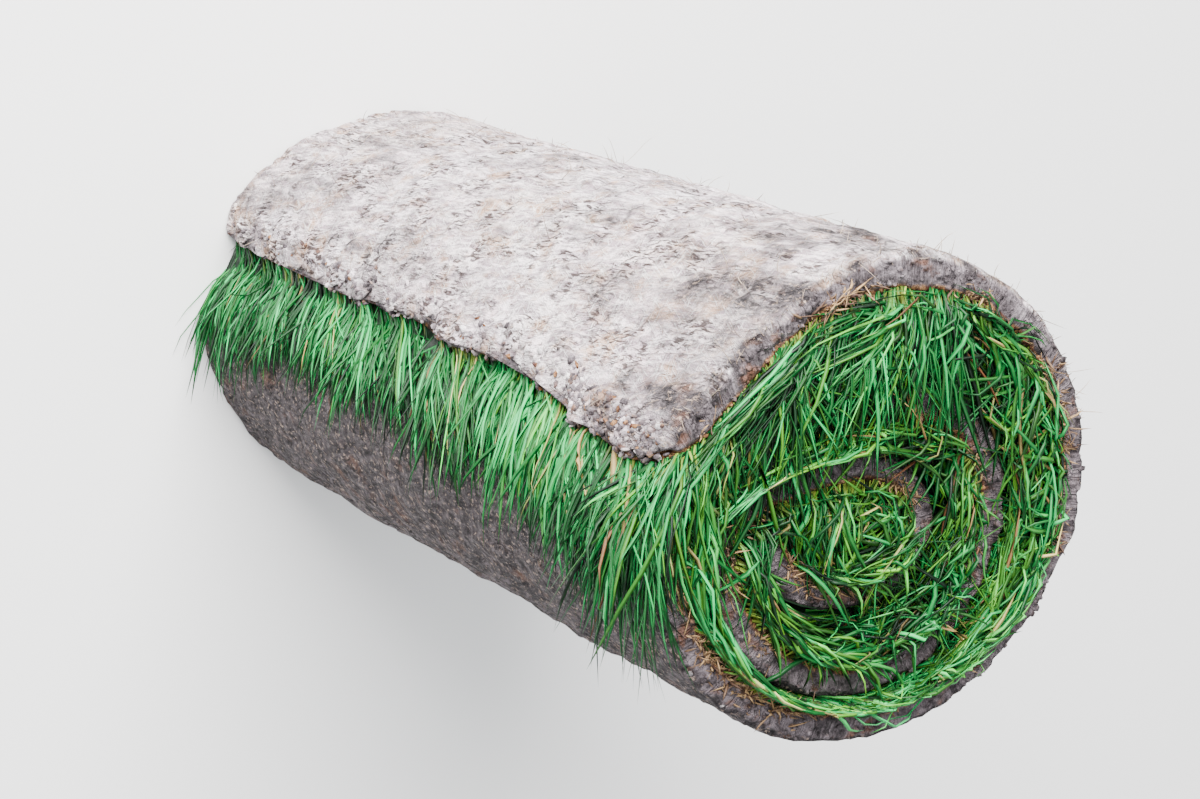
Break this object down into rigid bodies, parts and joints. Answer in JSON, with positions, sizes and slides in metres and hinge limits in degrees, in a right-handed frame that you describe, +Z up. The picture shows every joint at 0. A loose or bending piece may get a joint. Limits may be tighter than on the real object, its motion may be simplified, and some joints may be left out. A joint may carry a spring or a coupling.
{
  "type": "roll of turf",
  "caption": "Strip of lawn turf wound up grass side in, standing on its end, with bare soil outside, its free end as a flap down one side and long grass hanging out from under it.",
  "frame": {"origin": "on the floor, at the middle of the roll's footprint", "axes": "+Z up, along the roll to the cut end that the picture shows; +Y is the side that is up in the picture, where the roll lies on its side, and -X is the side that the flap and its fringe are on"},
  "size_m": [0.308, 0.276, 0.61],
  "materials": {
    "soil": "dry, fibrous root mat, rough and finely cracked",
    "grass": "fresh long blades, slightly glossy"
  },
  "bodies": {
    "root": {"soil_mat": "soil", "grass": "grass"}
  },
  "joints": []
}
